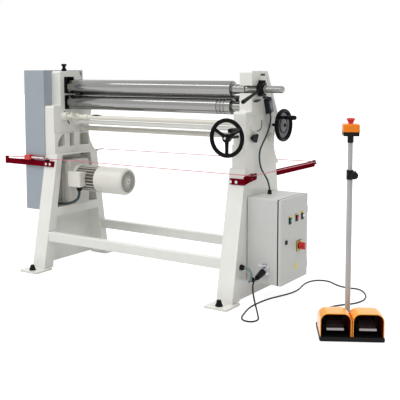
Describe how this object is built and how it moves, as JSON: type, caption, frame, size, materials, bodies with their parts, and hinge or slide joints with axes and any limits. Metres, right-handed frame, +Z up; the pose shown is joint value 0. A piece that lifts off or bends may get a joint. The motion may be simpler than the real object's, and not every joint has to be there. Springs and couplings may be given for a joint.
{
  "type": "slip roll machine",
  "caption": "Powered slip roll machine for bending sheet metal: pinch rolls and a bending roll between cast heads on leg frames, with handwheels, cabinet and pedal unit.",
  "frame": {"origin": "centre of the four floor anchor holes, on the floor", "axes": "+X along the rolls to the operator's right, +Y to the rear, +Z up"},
  "size_m": [2.8234, 1.2881, 1.359],
  "materials": {
    "stand_paint": "gloss enamel",
    "cast_paint": "gloss enamel on casting",
    "cover_paint": "satin enamel",
    "roll_steel": "ground and polished",
    "shaft_paint": "enamel",
    "gear_steel": "cut, oiled",
    "fastener": "bright zinc",
    "gearbox_paint": "enamel on casting",
    "motor_paint": "enamel",
    "conduit": "satin",
    "gland_black": "satin",
    "wheel_black": "semi-gloss",
    "black_metal": "blackened",
    "switch_navy": "enamel",
    "cabinet_paint": "textured powder coat",
    "yellow_plastic": "gloss",
    "green_plastic": "gloss",
    "red_plastic": "gloss",
    "socket_metal": "die-cast",
    "cable_black": "satin",
    "hood_orange": "gloss",
    "pedal_grey": "ribbed",
    "pole_paint": "satin",
    "crimson": "enamel",
    "wire_red": "coated wire rope"
  },
  "bodies": {
    "frame": {"left_leg_frame": "stand_paint", "right_leg_frame": "stand_paint", "left_head": "cast_paint", "right_head": "cast_paint", "cross_ties": "stand_paint", "frame_bolts": "fastener", "gear_cover": "cover_paint", "gearbox": "gearbox_paint", "motor_body": "motor_paint", "fan_cowl": "motor_paint", "wiring": "conduit", "cable_glands": "gland_black", "limit_switch": "switch_navy", "cabinet_body": "cabinet_paint", "cable_socket": "socket_metal", "pedal_plug": "gland_black", "pedal_cable": "cable_black", "pedal_base": "gland_black", "pedal_hoods": "hood_orange", "pole_lower": "pole_paint", "wire_brackets": "crimson", "pull_switch": "red_plastic", "trip_wire": "wire_red"},
    "swing": {"swivel_block": "black_metal"},
    "upper_roll": {"top_roll": "roll_steel"},
    "clamp": {"journal_clamp": "black_metal"},
    "upper_gear": {"top_gear": "gear_steel"},
    "lift": {"lower_roll_blocks": "gear_steel"},
    "low_roll": {"lower_roll": "roll_steel", "lower_gear": "gear_steel"},
    "bend": {"rear_roll_blocks": "gear_steel"},
    "back_roll": {"rear_roll": "roll_steel"},
    "idler_a": {"upper_idler": "gear_steel"},
    "idler_b": {"lower_idler": "gear_steel"},
    "pinion": {"output_pinion": "gear_steel"},
    "rotor": {"motor_rotor": "gear_steel"},
    "pinch_bar": {"pinch_shaft": "shaft_paint"},
    "bend_bar": {"bending_shaft": "shaft_paint"},
    "front_wheel": {"front_handwheel": "wheel_black"},
    "front_handle": {"front_grip": "wheel_black"},
    "side_wheel": {"side_handwheel": "wheel_black"},
    "side_handle": {"side_grip": "wheel_black"},
    "feeler": {"switch_lever": "black_metal"},
    "spool_knob": {"top_knob": "wheel_black"},
    "cone_knob": {"lock_knob": "wheel_black"},
    "door": {"cabinet_door": "cabinet_paint", "panel_fittings": "yellow_plastic"},
    "lock": {"door_lock": "gland_black"},
    "rotary": {"main_switch": "red_plastic"},
    "start": {"green_button": "green_plastic"},
    "stop": {"red_button": "red_plastic"},
    "flap": {"socket_flap": "socket_metal"},
    "treadle_l": {"left_pedal": "pedal_grey"},
    "treadle_r": {"right_pedal": "pedal_grey"},
    "mast": {"pole_upper": "pole_paint", "estop_box": "hood_orange"},
    "collar_knob": {"clamp_knob": "gland_black"},
    "mushroom": {"estop_button": "red_plastic"},
    "sheave_f": {"front_pulley": "black_metal"},
    "sheave_r": {"rear_pulley": "black_metal"}
  },
  "joints": [
    {"name": "top_roll_swing", "type": "hinge", "parent": "frame", "child": "swing", "pos_m": [-0.7265, -0.034, 1.206], "axis": [0, 0, -1], "range_deg": [0, 8]},
    {"name": "top_roll_spin", "type": "hinge", "parent": "swing", "child": "upper_roll", "pos_m": [0, -0.034, 1.206], "axis": [1, 0, 0], "continuous": true},
    {"name": "journal_clamp_turn", "type": "hinge", "parent": "swing", "child": "clamp", "pos_m": [0.79225, -0.034, 1.206], "axis": [-1, 0, 0], "range_deg": [0, 70]},
    {"name": "top_gear_spin", "type": "hinge", "parent": "frame", "child": "upper_gear", "pos_m": [-0.83, -0.034, 1.206], "axis": [1, 0, 0], "continuous": true},
    {"name": "lower_roll_lift", "type": "slide", "parent": "frame", "child": "lift", "axis": [0, 0, 1], "range_m": [-0.006, 0.008]},
    {"name": "lower_roll_spin", "type": "hinge", "parent": "lift", "child": "low_roll", "pos_m": [0, -0.034, 1.102], "axis": [1, 0, 0], "continuous": true},
    {"name": "rear_roll_lift", "type": "slide", "parent": "frame", "child": "bend", "axis": [0, -0.4772, 0.8788], "range_m": [-0.02, 0.036]},
    {"name": "rear_roll_spin", "type": "hinge", "parent": "bend", "child": "back_roll", "pos_m": [0, 0.076, 1.118], "axis": [1, 0, 0], "continuous": true},
    {"name": "upper_idler_spin", "type": "hinge", "parent": "frame", "child": "idler_a", "pos_m": [-0.86, 0.05, 1.0468], "axis": [1, 0, 0], "continuous": true},
    {"name": "lower_idler_spin", "type": "hinge", "parent": "frame", "child": "idler_b", "pos_m": [-0.86, -0.02357, 0.81836], "axis": [1, 0, 0], "continuous": true},
    {"name": "output_shaft_spin", "type": "hinge", "parent": "frame", "child": "pinion", "pos_m": [-0.78, 0, 0.65], "axis": [1, 0, 0], "continuous": true},
    {"name": "motor_spin", "type": "hinge", "parent": "frame", "child": "rotor", "pos_m": [-0.45, 0, 0.588], "axis": [1, 0, 0], "continuous": true},
    {"name": "pinch_shaft_turn", "type": "hinge", "parent": "frame", "child": "pinch_bar", "pos_m": [0, -0.096, 1.009], "axis": [1, 0, 0], "range_deg": [-25, 19]},
    {"name": "bending_shaft_turn", "type": "hinge", "parent": "frame", "child": "bend_bar", "pos_m": [0, 0.097, 0.92], "axis": [1, 0, 0], "range_deg": [-31, 55]},
    {"name": "front_handwheel_turn", "type": "hinge", "parent": "frame", "child": "front_wheel", "pos_m": [0.73, -0.318, 0.943], "axis": [0, -1, 0], "range_deg": [-1440, 1080]},
    {"name": "front_grip_spin", "type": "hinge", "parent": "front_wheel", "child": "front_handle", "pos_m": [0.81747, -0.38, 0.9935], "axis": [0, -1, 0], "continuous": true},
    {"name": "side_handwheel_turn", "type": "hinge", "parent": "frame", "child": "side_wheel", "pos_m": [0.861, 0.103, 0.995], "axis": [1, 0, 0], "range_deg": [-1800, 3240]},
    {"name": "side_grip_spin", "type": "hinge", "parent": "side_wheel", "child": "side_handle", "pos_m": [0.94, 0.033, 1.045], "axis": [1, 0, 0], "continuous": true},
    {"name": "switch_lever_turn", "type": "hinge", "parent": "frame", "child": "feeler", "pos_m": [0.796, 0.034, 1.148], "axis": [1, 0, 0], "range_deg": [0, 15], "stiffness_Nm_per_rad": 0.05, "springref_deg": -17.19},
    {"name": "top_knob_turn", "type": "hinge", "parent": "frame", "child": "spool_knob", "pos_m": [-0.734, -0.04, 1.33], "axis": [0, 0, 1], "continuous": true},
    {"name": "lock_knob_turn", "type": "hinge", "parent": "frame", "child": "cone_knob", "pos_m": [0.787, -0.105, 0.933], "axis": [1, 0, 0], "range_deg": [-90, 90]},
    {"name": "cabinet_door_hinge", "type": "hinge", "parent": "frame", "child": "door", "pos_m": [0.985, 0.171, 0.355], "axis": [0, 0, 1], "range_deg": [0, 110]},
    {"name": "door_lock_turn", "type": "hinge", "parent": "door", "child": "lock", "pos_m": [0.985, -0.108, 0.352], "axis": [1, 0, 0], "range_deg": [0, 90]},
    {"name": "main_switch_turn", "type": "hinge", "parent": "door", "child": "rotary", "pos_m": [1, 0.054, 0.307], "axis": [1, 0, 0], "range_deg": [-90, 0]},
    {"name": "green_button_push", "type": "slide", "parent": "door", "child": "start", "axis": [1, 0, 0], "range_m": [-0.004, 0], "stiffness_N_per_m": 400, "springref_m": 0.002},
    {"name": "red_button_push", "type": "slide", "parent": "door", "child": "stop", "axis": [1, 0, 0], "range_m": [-0.004, 0], "stiffness_N_per_m": 400, "springref_m": 0.002},
    {"name": "socket_flap_hinge", "type": "hinge", "parent": "frame", "child": "flap", "pos_m": [0.897, -0.186, 0.226], "axis": [-1, 0, 0], "range_deg": [0, 70], "stiffness_Nm_per_rad": 0.02, "springref_deg": -22.92},
    {"name": "left_pedal_press", "type": "hinge", "parent": "frame", "child": "treadle_l", "pos_m": [1.42203, -0.42522, 0.079], "axis": [0.8712, 0.4909, 0], "range_deg": [0, 8], "stiffness_Nm_per_rad": 6, "springref_deg": -6.88},
    {"name": "right_pedal_press", "type": "hinge", "parent": "frame", "child": "treadle_r", "pos_m": [1.55968, -0.34766, 0.079], "axis": [0.8712, 0.4909, 0], "range_deg": [0, 8], "stiffness_Nm_per_rad": 6, "springref_deg": -6.88},
    {"name": "pole_height", "type": "slide", "parent": "frame", "child": "mast", "axis": [0, 0, 1], "range_m": [-0.13, 0.15]},
    {"name": "pole_clamp_turn", "type": "hinge", "parent": "frame", "child": "collar_knob", "pos_m": [1.48297, -0.33578, 0.794], "axis": [0.4909, -0.8712, 0], "range_deg": [0, 360]},
    {"name": "emergency_stop_push", "type": "slide", "parent": "mast", "child": "mushroom", "axis": [0, 0, 1], "range_m": [-0.006, 0]},
    {"name": "front_pulley_spin", "type": "hinge", "parent": "frame", "child": "sheave_f", "pos_m": [0.828, -0.206, 0.729], "axis": [0, 0, 1], "continuous": true},
    {"name": "rear_pulley_spin", "type": "hinge", "parent": "frame", "child": "sheave_r", "pos_m": [0.828, 0.6, 0.729], "axis": [0, 0, 1], "continuous": true}
  ],
  "couplings": [
    {"joint": "output_shaft_spin", "follows": "motor_spin", "ratio": 0.025},
    {"joint": "lower_idler_spin", "follows": "motor_spin", "ratio": -0.010417},
    {"joint": "upper_idler_spin", "follows": "motor_spin", "ratio": 0.010417},
    {"joint": "top_gear_spin", "follows": "motor_spin", "ratio": -0.020833},
    {"joint": "top_roll_spin", "follows": "motor_spin", "ratio": -0.020833},
    {"joint": "lower_roll_spin", "follows": "motor_spin", "ratio": 0.020833},
    {"joint": "front_handwheel_turn", "follows": "lower_roll_lift", "rad_per_m": -3141.6},
    {"joint": "pinch_shaft_turn", "follows": "lower_roll_lift", "rad_per_m": -52.36},
    {"joint": "side_handwheel_turn", "follows": "rear_roll_lift", "rad_per_m": 1570.8},
    {"joint": "bending_shaft_turn", "follows": "rear_roll_lift", "rad_per_m": 26.18}
  ]
}
